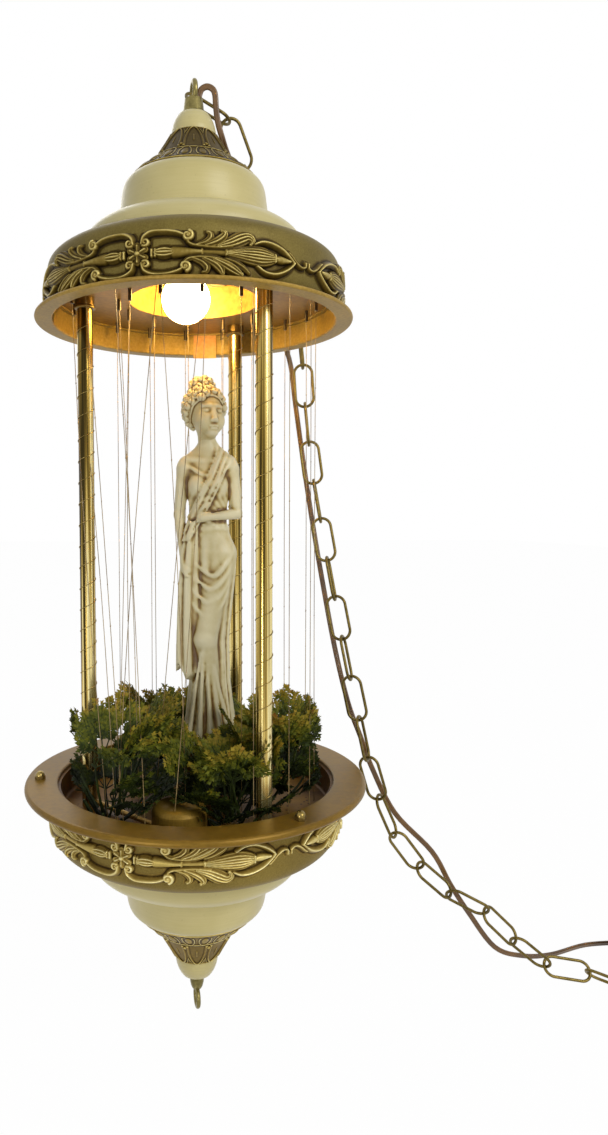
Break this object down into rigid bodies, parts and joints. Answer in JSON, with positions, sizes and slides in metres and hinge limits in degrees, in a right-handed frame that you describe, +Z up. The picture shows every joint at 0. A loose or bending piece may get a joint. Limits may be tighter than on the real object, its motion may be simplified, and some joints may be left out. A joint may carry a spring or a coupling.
{
  "type": "hanging rain lamp",
  "caption": "Hanging rain lamp: two ornamented round heads on brass columns, with lines, a draped figure and foliage between them, a pump, a chain and a cord with a switch.",
  "frame": {"origin": "the point inside the top ring where it bears on its hook, on the lamp's axis", "axes": "+Z up along the lamp's axis, +X to the right and +Y to the back as the picture shows it"},
  "size_m": [0.639, 0.306, 0.7889],
  "materials": {
    "cream_paint": "satin",
    "gold_paint": "satin",
    "antique_gold": "satin",
    "bronze_sheet": "satin",
    "polished_brass": "polished",
    "steel": "satin",
    "white_socket": "matte",
    "opal_glass": "gloss",
    "dark_nylon": "matte",
    "clear_line": "gloss",
    "ivory_resin": "satin",
    "leaf_plastic": "satin",
    "copper_wire": "gloss",
    "dark_lead": "matte",
    "brown_cord": "satin",
    "dark_plastic": "satin",
    "wheel_plastic": "gloss"
  },
  "bodies": {
    "lamp": {"top_loop": "polished_brass", "top_neck_cup": "cream_paint", "top_crown": "antique_gold", "top_dome": "cream_paint", "top_band": "gold_paint", "top_frieze": "antique_gold", "top_lip": "bronze_sheet", "drip_pan": "bronze_sheet", "line_tubes": "dark_nylon", "rain_lines": "clear_line", "socket_bracket": "steel", "centre_rod": "polished_brass", "rod_nuts": "polished_brass", "lamp_socket": "white_socket", "bulb": "opal_glass", "column_front": "polished_brass", "column_back": "polished_brass", "column_left": "polished_brass", "column_wires": "polished_brass", "column_collars": "polished_brass", "column_nuts": "polished_brass", "basin_pan": "bronze_sheet", "basin_rim": "bronze_sheet", "rim_screws": "polished_brass", "acorn_nuts": "polished_brass", "plinth": "ivory_resin", "figure": "ivory_resin", "plants_left": "leaf_plastic", "plants_front": "leaf_plastic", "plants_right": "leaf_plastic", "plants_back": "leaf_plastic", "pump_body": "polished_brass", "pump_lid": "polished_brass", "pump_cover": "bronze_sheet", "shaft_seal": "dark_nylon", "pump_outlet": "polished_brass", "motor_stator": "steel", "motor_coil": "copper_wire", "motor_brackets": "steel", "motor_screws": "steel", "motor_lead": "dark_lead", "low_band": "gold_paint", "low_frieze": "antique_gold", "low_dome": "cream_paint", "low_crown": "antique_gold", "low_neck_cup": "cream_paint", "finial": "polished_brass", "tie_rod": "steel", "chain": "antique_gold", "cord": "brown_cord", "cord_coil": "brown_cord", "cord_tail": "brown_cord", "coil_tie": "dark_plastic", "cord_switch": "dark_plastic", "plug": "dark_plastic"},
    "pump_rotor": {"drive_gear": "steel", "drive_shaft": "steel", "motor_rotor": "steel"},
    "idler": {"idler_gear": "steel"},
    "thumb_wheel": {"switch_wheel": "wheel_plastic"}
  },
  "joints": [
    {"name": "pump_spin", "type": "hinge", "parent": "lamp", "child": "pump_rotor", "pos_m": [-0.019, -0.078, -0.612], "axis": [0, 0, 1], "continuous": true},
    {"name": "idler_spin", "type": "hinge", "parent": "lamp", "child": "idler", "pos_m": [-0.007, -0.078, -0.59085], "axis": [0, 0, 1], "continuous": true},
    {"name": "switch_turn", "type": "hinge", "parent": "lamp", "child": "thumb_wheel", "pos_m": [0.48797, -0.058, -0.7765], "axis": [0, 0, 1], "continuous": true}
  ],
  "couplings": [
    {"joint": "idler_spin", "follows": "pump_spin", "ratio": -1}
  ]
}
